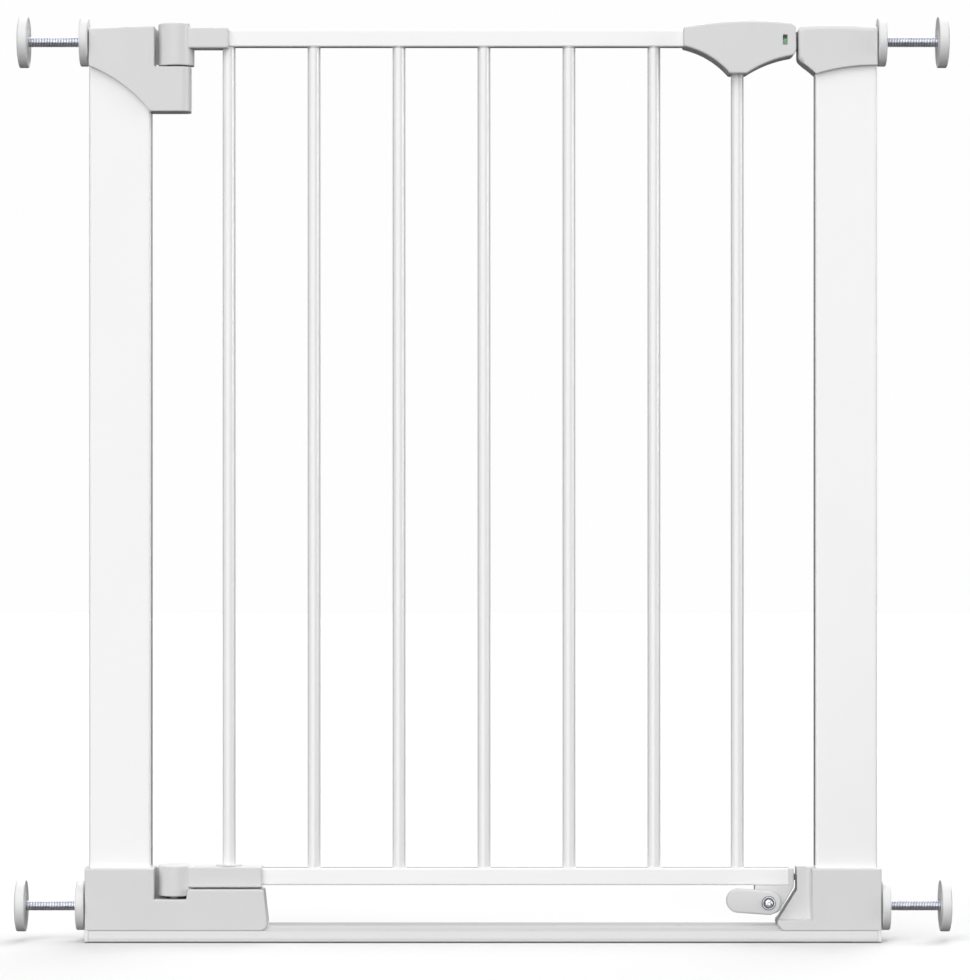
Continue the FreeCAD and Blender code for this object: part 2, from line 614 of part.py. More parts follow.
# ---------------------------------------------------------------- gate panel
def make_hinge_arm(sleeve_z0, sleeve_z1, rail_z0, arm_end):
    """Plastic sleeve and arm. The sleeve turns on a pin and the arm holds a rail's end."""
    sleeve = cyl_z(HINGE_X, 0, sleeve_z0, sleeve_z1, SLEEVE_R)
    top_rim = [e for e in sleeve.Edges if e.Closed and e.BoundBox.ZMin > sleeve_z1 - 0.1]
    sleeve = sleeve.makeFillet(1.0, top_rim)
    arm = box(HINGE_X, arm_end, -ARM_D / 2, ARM_D / 2, rail_z0 - ARM_WALL,
              rail_z0 + RAIL_H + ARM_WALL)
    arm = round_edges(arm, 1.2, lambda e: e.BoundBox.XMax > arm_end - 0.01)
    arm_body = sleeve.fuse(arm).removeSplitter()
    arm_body = arm_body.cut(box(RAIL_SEAT_X, arm_end + 1, -RAIL_D / 2, RAIL_D / 2,
                                rail_z0, rail_z0 + RAIL_H))
    bore_top = sleeve_z1 - PIN_TOP_COVER + 1.0
    return arm_body.cut(cyl_z(HINGE_X, 0, sleeve_z0 - 1, bore_top, PIN_R + RUN_GAP))


def make_upper_hinge_arm():
    arm = make_hinge_arm(UPPER_SLEEVE_BOTTOM, UPPER_SLEEVE_TOP, TOP_RAIL_Z0, FIRST_BAR_X)
    arm = arm.cut(box(HINGE_X + ARM_D / 2, HINGE_X + SLEEVE_R + 1, -SLEEVE_R, SLEEVE_R,
                      UPPER_ARM_Z1, UPPER_SLEEVE_TOP + 1))
    return arm.cut(cyl_z(FIRST_BAR_X, 0, UPPER_ARM_Z0 - 1, TOP_RAIL_Z0, BAR_R + SEAT_GAP))


def make_lower_hinge_arm():
    arm = make_hinge_arm(LOWER_SLEEVE_BOTTOM, LOWER_SLEEVE_TOP, BOTTOM_RAIL_Z0, LOWER_ARM_END)
    return arm.cut(cyl_z(FIRST_BAR_X, 0, BOTTOM_RAIL_Z1, LOWER_ARM_Z1 + 1, BAR_R + SEAT_GAP))


def make_bar_collar():
    """Thin plastic ring round the first bar's foot."""
    top = LOWER_ARM_Z1 + BAR_COLLAR_H
    ring = cyl_z(FIRST_BAR_X, 0, LOWER_ARM_Z1, top, BAR_R + BAR_COLLAR_W)
    return ring.cut(cyl_z(FIRST_BAR_X, 0, LOWER_ARM_Z1 - 1, top + 1, BAR_R + SEAT_GAP))


def make_rail(x1, z0):
    return tube_section(RAIL_SEAT_X, x1, z0, z0 + RAIL_H, RAIL_D, RAIL_WALL, RAIL_EDGE_R,
                        vec(1, 0, 0))


def make_bar(x):
    """Round tube between the rails. The last bar ends under the lock chassis."""
    top = CHASSIS_BOTTOM if x == LATCH_BAR_X else TOP_RAIL_Z0
    hole = cyl_z(x, 0, BOTTOM_RAIL_Z1 - 1, top + 1, BAR_R - BAR_WALL)
    return cyl_z(x, 0, BOTTOM_RAIL_Z1, top, BAR_R).cut(hole)


# ---------------------------------------------------------------- handle
def handle_outline():
    """Front outline of the handle: crowned top, and a neck that sweeps down to the last bar."""
    neck_left = LATCH_BAR_X - NECK_HALF_W
    neck_right = LATCH_BAR_X + NECK_HALF_W
    return front_outline([
        (HANDLE_LEFT, TOP_RAIL_Z0 - 0.5),
        (HANDLE_LEFT, TOP_RAIL_Z1 + 1.0),
        (HANDLE_RIGHT, HANDLE_TOP - 2.0, 3.4),
        (HANDLE_RIGHT, TOP_RAIL_Z0 - 7.4),
        (neck_right, HANDLE_BOTTOM, -2.4),
        (neck_left, HANDLE_BOTTOM),
        (HANDLE_LEFT, TOP_RAIL_Z0 - 0.5, -3.5),
    ])


def handle_block():
    """Solid outer shape of the handle, with its corners and rims rounded."""
    block = front_prism(handle_outline(), HANDLE_D)

    def corner(edge, x_min, x_max):
        inside = x_min < edge.BoundBox.XMin and edge.BoundBox.XMax < x_max
        return inside and is_line_along(edge, vec(0, 1, 0))

    block = round_edges(block, 5.0, lambda e: corner(e, HANDLE_RIGHT - 1, HANDLE_RIGHT + 1))
    block = round_edges(block, 1.5, lambda e: corner(e, HANDLE_LEFT - 1,
                                                     LATCH_BAR_X + NECK_HALF_W + 1))
    return soften(block, HANDLE_D, 1.2)


def handle_cavity(gap):
    """Hollow of the handle, made smaller all round by gap."""
    inner = handle_outline().makeOffset2D(-HANDLE_WALL - gap)
    hollow = front_prism(inner, HANDLE_D - 2 * (HANDLE_WALL + gap))
    return hollow.cut(box(HANDLE_LEFT, HANDLE_RIGHT, -HANDLE_D, HANDLE_D,
                          HANDLE_CAVITY_TOP - gap, HANDLE_CAVITY_TOP + 20))


def screw_bosses():
    """Round bosses from each shell's inner face towards the middle plane."""
    face = HANDLE_D / 2 - HANDLE_WALL
    bosses = []
    for x, z, reach in HANDLE_SCREWS:
        bosses.append(cyl_y(x, z, reach, face, HANDLE_BOSS_R))
        bosses.append(cyl_y(x, z, -face, -reach, HANDLE_BOSS_R))
    return bosses


def make_handle_shell(side):
    """One half of the handle, split at Y = 0. side is -1 for the front, 1 for the rear."""
    body = handle_block().cut(handle_cavity(0.0))
    body = body.fuse(screw_bosses())
    body = body.cut(box(HANDLE_LEFT - 1, TOP_RAIL_END, -RAIL_D / 2, RAIL_D / 2,
                        TOP_RAIL_Z0, TOP_RAIL_Z1))
    body = body.cut(cyl_z(LATCH_BAR_X, 0, HANDLE_BOTTOM - 1, CHASSIS_BOTTOM, BAR_R + SEAT_GAP))
    recess_left = SLIDER_LEFT - BOLT_TRAVEL - 1.0
    recess_half = SLIDER_D / 2 + SLIDE_GAP
    body = body.cut(box(recess_left, SLIDER_RIGHT + 2 * SLIDE_GAP, -recess_half, recess_half,
                        SLIDER_FLOOR, SLIDER_FLOOR + 20))
    stem = stem_box(SLIDE_GAP)
    slot = stem.BoundBox
    body = body.cut(box(slot.XMin - BOLT_TRAVEL, slot.XMax, slot.YMin, slot.YMax,
                        HANDLE_CAVITY_TOP - 1, SLIDER_FLOOR + 1))
    half_bolt = BOLT_T / 2 + SLIDE_GAP
    body = body.cut(box(HANDLE_RIGHT - HANDLE_WALL - 4, HANDLE_RIGHT + 1, -half_bolt, half_bolt,
                        BOLT_BOTTOM - SLIDE_GAP, BOLT_TOP + SLIDE_GAP))
    body = body.cut(window_box(SEAT_GAP))
    head_y = HANDLE_D / 2 - HANDLE_SCREW_HEAD_T
    for x, z, _ in HANDLE_SCREWS:
        body = body.cut(cyl_y(x, z, head_y - HANDLE_SCREW_L, HANDLE_D, HANDLE_SCREW_R + SEAT_GAP))
        body = body.cut(cyl_y(x, z, head_y, HANDLE_D, HANDLE_SCREW_HEAD_R + SEAT_GAP))
    y0, y1 = sorted((0.0, side * HANDLE_D))
    return body.common(box(HANDLE_LEFT - 5, HANDLE_RIGHT + 5, y0, y1,
                           HANDLE_BOTTOM - 5, HANDLE_TOP + 5))


def make_handle_screws():
    """Screws from the rear shell through the chassis into the front shell."""
    screws = []
    head_y = HANDLE_D / 2 - HANDLE_SCREW_HEAD_T
    face_y = HANDLE_D / 2 - 0.3
    for x, z, _ in HANDLE_SCREWS:
        shank = cyl_y(x, z, head_y - HANDLE_SCREW_L, head_y, HANDLE_SCREW_R)
        head = cyl_y(x, z, head_y, face_y, HANDLE_SCREW_HEAD_R)
        socket = cyl_y(x, z, face_y - SOCKET_DEPTH, face_y + 1, HANDLE_SCREW_R * 0.8)
        screws.append(shank.fuse(head).cut(socket))
    return Part.makeCompound(screws)


def make_lock_chassis():
    """Moulding inside the handle: plugs the top rail, guides the bolt and backs its spring."""
    inset = RAIL_WALL + SEAT_GAP
    plug = box(TOP_RAIL_END - 16, TOP_RAIL_END, -RAIL_D / 2 + inset, RAIL_D / 2 - inset,
               TOP_RAIL_Z0 + inset, TOP_RAIL_Z1 - inset)
    body = box(TOP_RAIL_END, HANDLE_RIGHT, -CHASSIS_HALF_D, CHASSIS_HALF_D,
               CHASSIS_BOTTOM, CHASSIS_TOP)
    half_wall = RAIL_D / 2
    body = body.fuse(box(TOP_RAIL_END, TOP_RAIL_END + SPRING_WALL_T, -half_wall, half_wall,
                         CHASSIS_BOTTOM, HANDLE_CAVITY_TOP))
    inner = BOLT_T / 2 + SLIDE_GAP
    for y0, y1 in ((inner, inner + 2.5), (-inner - 2.5, -inner)):
        body = body.fuse(box(HANDLE_RIGHT - 43.2, HANDLE_RIGHT - 17.2, y0, y1,
                             CHASSIS_TOP - 1, CHASSIS_TOP + 3))
    body = body.common(handle_cavity(SLIDE_GAP)).fuse(plug)
    for x, z, _ in HANDLE_SCREWS:
        body = body.cut(cyl_y(x, z, -HANDLE_D, HANDLE_D, HANDLE_SCREW_R + SEAT_GAP))
    return body


def window_box(gap):
    """Indicator lens in the front shell, or the hole for it when gap is more than nothing."""
    half_w = WINDOW_W / 2 + gap
    half_h = WINDOW_H / 2 + gap
    face = -HANDLE_D / 2
    y0, y1 = (face - 1, face + HANDLE_WALL) if gap else (face + 0.4, face + 0.4 + WINDOW_T)
    return box(WINDOW_X - half_w, WINDOW_X + half_w, y0, y1, WINDOW_Z - half_h, WINDOW_Z + half_h)


def make_indicator_backing():
    """Red plate that shows through the window once the green flag has moved away."""
    y0 = -HANDLE_D / 2 + HANDLE_WALL + SLIDE_GAP + FLAG_T + 2 * SLIDE_GAP
    half_w = WINDOW_W / 2 + 2.2
    return box(WINDOW_X - half_w, WINDOW_X + half_w, y0, y0 + FLAG_T,
               CHASSIS_TOP, WINDOW_Z + WINDOW_H / 2 - 1.0)


# ---------------------------------------------------------------- lock bolt body
def stem_box(gap):
    """Stem that joins the thumb slider to the bolt."""
    half_l = STEM_L / 2 + gap
    half_d = STEM_D / 2 + gap
    return box(STEM_X - half_l, STEM_X + half_l, -half_d, half_d,
               BOLT_TOP, SLIDER_FLOOR + SLIDE_GAP)


def make_thumb_slider():
    crown = front_prism(handle_outline(), SLIDER_D)
    cap = crown.common(box(SLIDER_LEFT, SLIDER_RIGHT, -SLIDER_D / 2, SLIDER_D / 2,
                           SLIDER_FLOOR + SLIDE_GAP, SLIDER_FLOOR + 20))
    half_d = SLIDER_D / 2 - 4.0
    ridge = box(THUMB_X - THUMB_W / 2, THUMB_X + THUMB_W / 2, -half_d, half_d,
                SLIDER_FLOOR + 2, HANDLE_TOP - 0.2 + THUMB_H)
    ridge = round_edges(ridge, 1.4, lambda e: e.BoundBox.ZMin > HANDLE_TOP)
    return cap.fuse([ridge, stem_box(0.0)])


def make_lock_bolt():
    bolt = box(BOLT_LEFT, BOLT_TIP, -BOLT_T / 2, BOLT_T / 2, BOLT_BOTTOM, BOLT_TOP)
    return round_edges(bolt, 1.0, lambda e: is_upright_at(e, BOLT_TIP))


def make_indicator_flag():
    """Green plate behind the window, on an arm from the bolt."""
    x0 = WINDOW_X - WINDOW_W / 2 - 1.8
    x1 = WINDOW_X + WINDOW_W / 2 + 1.8
    y0 = -HANDLE_D / 2 + HANDLE_WALL + SLIDE_GAP
    top = BOLT_TOP - 0.6
    plate = box(x0, x1, y0, y0 + FLAG_T, WINDOW_Z - WINDOW_H / 2 + 0.5, top)
    arm = box(x0, x1, y0, -BOLT_T / 2, top - 2.0, top)
    return plate.fuse(arm)


def make_return_spring():
    """Compression spring between the chassis end wall and the bolt."""
    x0 = TOP_RAIL_END + SPRING_WALL_T + SPRING_WIRE_R
    length = BOLT_LEFT - SPRING_WIRE_R - x0
    coil_r = SPRING_R - SPRING_WIRE_R
    helix = Part.makeHelix(length / SPRING_TURNS, length, coil_r)
    profile = Part.Wire(Part.makeCircle(SPRING_WIRE_R, vec(coil_r, 0, 0), vec(0, 1, 0)))
    spring = Part.Wire(helix).makePipeShell([profile], True, True)
    spring.rotate(vec(0, 0, 0), vec(0, 1, 0), 90)
    spring.translate(vec(x0, 0, BOLT_BOTTOM + BOLT_H / 2))
    return spring


# ---------------------------------------------------------------- lower latch
def make_lower_latch_cap():
    """Plug and end piece of the bottom rail, with the lug that carries the stop lever."""
    lug_left = LEVER_X - 10.5
    outline = front_outline([
        (BOTTOM_RAIL_END, BOTTOM_RAIL_Z1),
        (CAP_RIGHT, BOTTOM_RAIL_Z1),
        (CAP_RIGHT, BOTTOM_RAIL_Z0 - 0.9),
        (CAP_RIGHT - 10.5, LEVER_Z - 5.9),
        (LEVER_X, LEVER_Z - LEVER_R + 0.6, 1.4),
        (lug_left, LEVER_Z + 2.0, 4.05),
        (lug_left, BOTTOM_RAIL_Z0),
        (BOTTOM_RAIL_END, BOTTOM_RAIL_Z0),
    ])
    body = soften(front_prism(outline, CAP_D), CAP_D, 0.6)
    inset = RAIL_WALL + SEAT_GAP
    plug = box(BOTTOM_RAIL_END - 20, BOTTOM_RAIL_END + 1, -RAIL_D / 2 + inset, RAIL_D / 2 - inset,
               BOTTOM_RAIL_Z0 + inset, BOTTOM_RAIL_Z1 - inset)
    body = body.fuse(plug)
    body = body.cut(make_lower_latch_tongue())
    return body.cut(cyl_y(LEVER_X, LEVER_Z, -CAP_D, CAP_D / 2 - 1, LEVER_SCREW_R + SEAT_GAP))


def make_lower_latch_tongue():
    """Steel tongue that drops into the notch of the lower latch housing."""
    return box(TONGUE_TIP - TONGUE_L, TONGUE_TIP, -BOLT_T / 2, BOLT_T / 2,
               TONGUE_Z - TONGUE_H / 2, TONGUE_Z + TONGUE_H / 2)


def make_stop_lever():
    """Flat bar with round ends, on the lever screw at its right end."""
    left = LEVER_X - LEVER_REACH
    back = LEVER_FRONT + LEVER_T
    bar = box(left, LEVER_X, LEVER_FRONT, back, LEVER_Z - LEVER_R, LEVER_Z + LEVER_R)
    ends = [cyl_y(x, LEVER_Z, LEVER_FRONT, back, LEVER_R) for x in (left, LEVER_X)]
    lever = bar.fuse(ends).removeSplitter()
    front = [e for e in lever.Edges if e.BoundBox.YMax < LEVER_FRONT + 0.01]
    lever = lever.makeFillet(1.2, front)
    lever = lever.cut(cyl_y(LEVER_X, LEVER_Z, LEVER_FRONT - 1, back + 1,
                            LEVER_SCREW_R + RUN_GAP))
    lever.rotate(vec(LEVER_X, 0, LEVER_Z), vec(0, 1, 0), LEVER_TILT_DEG)
    return lever


def make_lever_washer():
    washer = cyl_y(LEVER_X, LEVER_Z, LEVER_FRONT - WASHER_T, LEVER_FRONT, WASHER_R)
    return washer.cut(cyl_y(LEVER_X, LEVER_Z, -HOUSING_D, 0, LEVER_SCREW_R + SEAT_GAP))


def make_lever_screw():
    head_back = LEVER_FRONT - WASHER_T
    head = cyl_y(LEVER_X, LEVER_Z, head_back - 2.0, head_back, LEVER_SCREW_HEAD_R)
    shank = cyl_y(LEVER_X, LEVER_Z, head_back, CAP_D / 2 - 2, LEVER_SCREW_R)
    socket = cyl_y(LEVER_X, LEVER_Z, head_back - 3, head_back - 0.6, LEVER_SCREW_R * 0.7)
    return head.fuse(shank).cut(socket)


# ---------------------------------------------------------------- spindles, wheels and pads
def make_spindle_rod(side, z, pad_face, face):
    outer = pad_face - PAD_T + PAD_BORE_DEPTH - SEAT_GAP
    return cyl_x(side, SPINDLE_INNER_X, outer, z, SPINDLE_R)


def make_pad_cup(side, z, pad_face, face):
    """Plastic wall pad: bore for the spindle on one face, recess for the rubber on the other."""
    cup_face = pad_face - RUBBER_PROUD
    cup = cyl_x(side, pad_face - PAD_T, cup_face, z, PAD_R)
    cup = cup.makeFillet(PAD_EDGE_R, [e for e in cup.Edges if e.Closed])
    cup = cup.cut(cyl_x(side, pad_face - RUBBER_T, pad_face + 1, z, RUBBER_R + SEAT_GAP))
    return cup.cut(cyl_x(side, pad_face - PAD_T - 1, pad_face - PAD_T + PAD_BORE_DEPTH, z,
                         SPINDLE_R + SEAT_GAP))


def make_pad_rubber(side, z, pad_face, face):
    return cyl_x(side, pad_face - RUBBER_T, pad_face, z, RUBBER_R)


def nut_prism(side, x0, x1, z, across):
    """Hexagonal prism along X."""
    corner = across / math.sqrt(3)
    points = []
    for i in range(7):
        turn = math.radians(60 * i)
        points.append(vec(side * x0, corner * math.cos(turn), z + corner * math.sin(turn)))
    return Part.Face(Part.makePolygon(points)).extrude(vec(side * (x1 - x0), 0, 0))


def make_hand_wheel(side, z, pad_face, face):
    inner = face + BUSH_FLANGE_T
    outer = inner + WHEEL_T
    wheel = cyl_x(side, inner, outer, z, WHEEL_R)

    def outer_rim(edge):
        return edge.Closed and abs(abs(edge.BoundBox.XMin) - outer) < 0.01

    wheel = round_edges(wheel, WHEEL_EDGE_R, outer_rim)
    wheel = wheel.cut(nut_prism(side, inner - 1, outer - WHEEL_WEB, z, NUT_ACROSS + 2 * SEAT_GAP))
    return wheel.cut(cyl_x(side, inner, outer + 1, z, SPINDLE_R + SLIDE_GAP))


def make_wheel_nut(side, z, pad_face, face):
    inner = face + BUSH_FLANGE_T
    nut = nut_prism(side, inner, inner + WHEEL_T - WHEEL_WEB, z, NUT_ACROSS)
    return nut.cut(cyl_x(side, inner - 1, inner + WHEEL_T, z, SPINDLE_R + RUN_GAP))


# ---------------------------------------------------------------- write every node
def all_nodes():
    nodes = {
        "left_post": make_post(-1),
        "right_post": make_post(1),
        "threshold_bar": make_threshold_bar(),
        "threshold_end_caps": make_threshold_end_caps(),
        "floor_strip": make_floor_strip(),
        "upper_hinge_bracket": make_upper_hinge_bracket(),
        "upper_latch_keeper": make_upper_latch_keeper(),
        "lower_hinge_housing": make_lower_hinge_housing(),
        "lower_latch_housing": make_lower_latch_housing(),
        "bracket_screws": make_bracket_screws(),
        "spindle_bushes": make_spindle_bushes(),
        "upper_hinge_pin": make_hinge_pin(UPPER_SLEEVE_BOTTOM, UPPER_SLEEVE_TOP,
                                          UPPER_PIN_IN_FRAME, UPPER_COLLAR_H),
        "lower_hinge_pin": make_hinge_pin(LOWER_SLEEVE_BOTTOM, LOWER_SLEEVE_TOP,
                                          LOWER_PIN_IN_FRAME, LOWER_COLLAR_H),
        "upper_hinge_arm": make_upper_hinge_arm(),
        "lower_hinge_arm": make_lower_hinge_arm(),
        "bar_collar": make_bar_collar(),
        "top_rail": make_rail(TOP_RAIL_END, TOP_RAIL_Z0),
        "bottom_rail": make_rail(BOTTOM_RAIL_END, BOTTOM_RAIL_Z0),
        "handle_front_shell": make_handle_shell(-1),
        "handle_rear_shell": make_handle_shell(1),
        "handle_screws": make_handle_screws(),
        "lock_chassis": make_lock_chassis(),
        "indicator_window": window_box(0.0),
        "indicator_backing": make_indicator_backing(),
        "thumb_slider": make_thumb_slider(),
        "lock_bolt": make_lock_bolt(),
        "indicator_flag": make_indicator_flag(),
        "return_spring": make_return_spring(),
        "lower_latch_cap": make_lower_latch_cap(),
        "lower_latch_tongue": make_lower_latch_tongue(),
        "stop_lever": make_stop_lever(),
        "lever_washer": make_lever_washer(),
        "lever_screw": make_lever_screw(),
    }
    for i, x in enumerate(BAR_XS, 1):
        nodes["bar_%d" % i] = make_bar(x)
    makers = {
        "spindle_rod": make_spindle_rod,
        "pad_cup": make_pad_cup,
        "pad_rubber": make_pad_rubber,
        "hand_wheel": make_hand_wheel,
        "wheel_nut": make_wheel_nut,
    }
    for corner, place in CORNERS.items():
        for name, make in makers.items():
            nodes["%s_%s" % (name, corner)] = make(*place)
    return nodes


os.makedirs("parts", exist_ok=True)
for node, shape in all_nodes().items():
    shape.exportStep("parts/%s.step" % node)
    print(node, shape.isValid(), len(shape.Solids), round(shape.Volume, 1))
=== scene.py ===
"""Looks of the safety baby gate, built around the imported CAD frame, in metres."""

import json
import math

import bmesh
import bpy
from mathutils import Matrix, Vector


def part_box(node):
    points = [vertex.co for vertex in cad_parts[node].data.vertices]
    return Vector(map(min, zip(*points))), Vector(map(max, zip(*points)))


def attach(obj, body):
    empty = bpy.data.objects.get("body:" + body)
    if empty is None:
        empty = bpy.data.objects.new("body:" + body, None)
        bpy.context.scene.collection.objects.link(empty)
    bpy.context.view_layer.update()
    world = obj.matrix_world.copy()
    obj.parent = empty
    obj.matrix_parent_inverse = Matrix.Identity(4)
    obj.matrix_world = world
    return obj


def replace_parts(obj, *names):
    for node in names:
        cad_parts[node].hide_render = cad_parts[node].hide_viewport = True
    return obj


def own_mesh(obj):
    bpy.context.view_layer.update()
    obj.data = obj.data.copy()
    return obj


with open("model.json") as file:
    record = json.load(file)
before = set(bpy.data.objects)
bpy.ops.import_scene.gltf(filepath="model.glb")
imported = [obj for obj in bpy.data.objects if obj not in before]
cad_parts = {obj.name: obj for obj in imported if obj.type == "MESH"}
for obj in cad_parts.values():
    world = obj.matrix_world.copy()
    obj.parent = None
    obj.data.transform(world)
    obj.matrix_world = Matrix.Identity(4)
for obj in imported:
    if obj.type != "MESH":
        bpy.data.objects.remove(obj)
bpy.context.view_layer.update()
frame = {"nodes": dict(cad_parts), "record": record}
nodes = frame["nodes"]
record = frame["record"]
MM = 0.001
CORNERS = ("top_left", "top_right", "bottom_left", "bottom_right")
BARS = ["bar_%d" % i for i in range(1, 8)]

# finer meshes
ROD_R = 4.0 * MM
THREAD_PITCH = 1.25 * MM
THREAD_DEPTH = 0.6 * MM
THREAD_SHAPE = (0.0, 0.3, 0.75, 1.0, 1.0, 1.0, 0.75, 0.3)   # height along one pitch
PAD_EDGE_R = 1.3 * MM
WHEEL_EDGE_R = 1.7 * MM
WHEEL_BORE_R = 4.3 * MM
WHEEL_HUB_R = 7.6 * MM
AXIS_R = 0.01 * MM          # smallest ring of a turned piece that closes on its axis
WASHER_BORE_R = 2.1 * MM
RIVET_SHANK_R = 2.0 * MM
LEVER_EDGE_R = 1.4 * MM
SPRING_WIRE_R = 0.5 * MM
SPRING_TURNS = 5
SLIDER_RIDGE_H = 2.2 * MM


# ---------------------------------------------------------------- camera, light and floor
CAMERA_AT = (0.0015, -3.4, 0.358)
CAMERA_LENS = 157.1
BACKDROP = 0.991
AMBIENT = 0.04
# direction, sharpness and strength of each soft light
LIGHT_LOBES = [
    ((0, 0, 1), 3.0, 1.2),
    ((0, -0.4, -1), 2.0, 0.3),
    ((0.3, 1, 0.9), 12.0, 6.0),
]
# azimuth from the front towards +X, elevation, inner and outer half angle, strength
LIGHT_PANELS = [
    (-22.0, 25.0, 36.0, 43.0, 2.6),
    (78.0, 12.0, 12.0, 18.0, 7.2),
]
FLOOR_HALF = 9.0
FLOOR_ALBEDO = 0.80


def make_camera():
    data = bpy.data.cameras.new("camera")
    data.lens = CAMERA_LENS
    data.sensor_width = 36.0
    data.clip_end = 100.0
    camera = bpy.data.objects.new("camera", data)
    camera.location = CAMERA_AT
    camera.rotation_euler = (math.radians(90), 0, 0)
    bpy.context.scene.collection.objects.link(camera)
    bpy.context.scene.camera = camera


def make_world():
    """A white backdrop, and for the object a soft studio: bright above and before, dim below."""
    world = bpy.data.worlds.new("studio")
    bpy.context.scene.world = world
    world.use_nodes = True
    tree = world.node_tree
    tree.nodes.clear()
    out = tree.nodes.new("ShaderNodeOutputWorld")
    seen = tree.nodes.new("ShaderNodeBackground")
    seen.inputs["Color"].default_value = (BACKDROP, BACKDROP, BACKDROP, 1)
    light = tree.nodes.new("ShaderNodeBackground")
    path = tree.nodes.new("ShaderNodeLightPath")
    mix = tree.nodes.new("ShaderNodeMixShader")
    tree.links.new(path.outputs["Is Camera Ray"], mix.inputs["Fac"])
    tree.links.new(light.outputs[0], mix.inputs[1])
    tree.links.new(seen.outputs[0], mix.inputs[2])
    tree.links.new(mix.outputs[0], out.inputs[0])

    coords = tree.nodes.new("ShaderNodeTexCoord")

    def math_node(kind, a, b=None):
        node = tree.nodes.new("ShaderNodeMath")
        node.operation = kind
        for i, value in enumerate((a, b)):
            if value is None:
                continue
            if isinstance(value, (int, float)):
                node.inputs[i].default_value = value
            else:
                tree.links.new(value, node.inputs[i])
        return node.outputs[0]

    def facing(direction):
        """Cosine of the angle to a direction."""
        dot = tree.nodes.new("ShaderNodeVectorMath")
        dot.operation = "DOT_PRODUCT"
        tree.links.new(coords.outputs["Generated"], dot.inputs[0])
        dot.inputs[1].default_value = direction
        return dot.outputs["Value"]

    def lobe(direction, power, gain):
        """Light that falls off as a power of the cosine."""
        towards = facing(Vector(direction).normalized())
        shape = math_node("POWER", math_node("MAXIMUM", towards, 0.0), power)
        return math_node("MULTIPLY", shape, gain)

    def panel(azimuth, elevation, inner, outer, gain):
        """Round soft box: full within the inner angle, gone beyond the outer one."""
        flat = math.cos(math.radians(elevation))
        towards = facing((math.sin(math.radians(azimuth)) * flat,
                          -math.cos(math.radians(azimuth)) * flat,
                          math.sin(math.radians(elevation))))
        edge = tree.nodes.new("ShaderNodeMapRange")
        edge.interpolation_type = "SMOOTHSTEP"
        edge.inputs["From Min"].default_value = math.cos(math.radians(outer))
        edge.inputs["From Max"].default_value = math.cos(math.radians(inner))
        edge.inputs["To Max"].default_value = gain
        tree.links.new(towards, edge.inputs["Value"])
        return edge.outputs["Result"]

    total = AMBIENT
    for direction, power, gain in LIGHT_LOBES:
        total = math_node("ADD", total, lobe(direction, power, gain))
    for azimuth, elevation, inner, outer, gain in LIGHT_PANELS:
        total = math_node("ADD", total, panel(azimuth, elevation, inner, outer, gain))
    tree.links.new(total, light.inputs["Strength"])


def make_floor():
    """Plain floor that shows shadows but doesn't colour the object."""
    mesh = bpy.data.meshes.new("floor")
    half = FLOOR_HALF
    mesh.from_pydata([(-half, -half, 0), (half, -half, 0), (half, half, 0), (-half, half, 0)],
                     [], [(0, 1, 2, 3)])
    floor = bpy.data.objects.new("floor", mesh)
    bpy.context.scene.collection.objects.link(floor)
    material = bpy.data.materials.new("floor_white")
    material.use_nodes = True
    shader = material.node_tree.nodes["Principled BSDF"]
    shader.inputs["Base Color"].default_value = (FLOOR_ALBEDO, FLOOR_ALBEDO, FLOOR_ALBEDO, 1)
    shader.inputs["Roughness"].default_value = 1.0
    shader.inputs["Specular IOR Level"].default_value = 0.0
    mesh.materials.append(material)
    floor.visible_diffuse = False
    floor.visible_glossy = False


# ---------------------------------------------------------------- materials
def new_material(name, color, roughness, metallic=0.0):
    """A material with its node tree and its shader."""
    material = bpy.data.materials.new(name)
    material.use_nodes = True
    shader = material.node_tree.nodes["Principled BSDF"]
    shader.inputs["Base Color"].default_value = (*color, 1)
    shader.inputs["Roughness"].default_value = roughness
    shader.inputs["Metallic"].default_value = metallic
    return material, material.node_tree, shader


def object_coords(tree, scale=(1, 1, 1)):
    """Object space coordinates, which are the row frame's, stretched by scale."""
    coords = tree.nodes.new("ShaderNodeTexCoord")
    mapping = tree.nodes.new("ShaderNodeMapping")
    mapping.inputs["Scale"].default_value = scale
    tree.links.new(coords.outputs["Object"], mapping.inputs["Vector"])
    return mapping.outputs["Vector"]


def noise(tree, vector, scale, detail=2.0, roughness=0.5):
    """Noise value, mostly between 0.3 and 0.7."""
    node = tree.nodes.new("ShaderNodeTexNoise")
    node.inputs["Scale"].default_value = scale
    node.inputs["Detail"].default_value = detail
    node.inputs["Roughness"].default_value = roughness
    tree.links.new(vector, node.inputs["Vector"])
    return node.outputs["Fac"]


def spread(tree, value, low, high):
    """Maps a 0.3 to 0.7 noise value to low..high."""
    node = tree.nodes.new("ShaderNodeMapRange")
    node.inputs["From Min"].default_value = 0.3
    node.inputs["From Max"].default_value = 0.7
    node.inputs["To Min"].default_value = low
    node.inputs["To Max"].default_value = high
    tree.links.new(value, node.inputs["Value"])
    return node.outputs["Result"]


def tint(tree, shader, value, dark, light):
    """Base colour between two colours by a 0..1 value."""
    ramp = tree.nodes.new("ShaderNodeMix")
    ramp.data_type = "RGBA"
    ramp.inputs["A"].default_value = (*dark, 1)
    ramp.inputs["B"].default_value = (*light, 1)
    tree.links.new(value, ramp.inputs["Factor"])
    tree.links.new(ramp.outputs["Result"], shader.inputs["Base Color"])


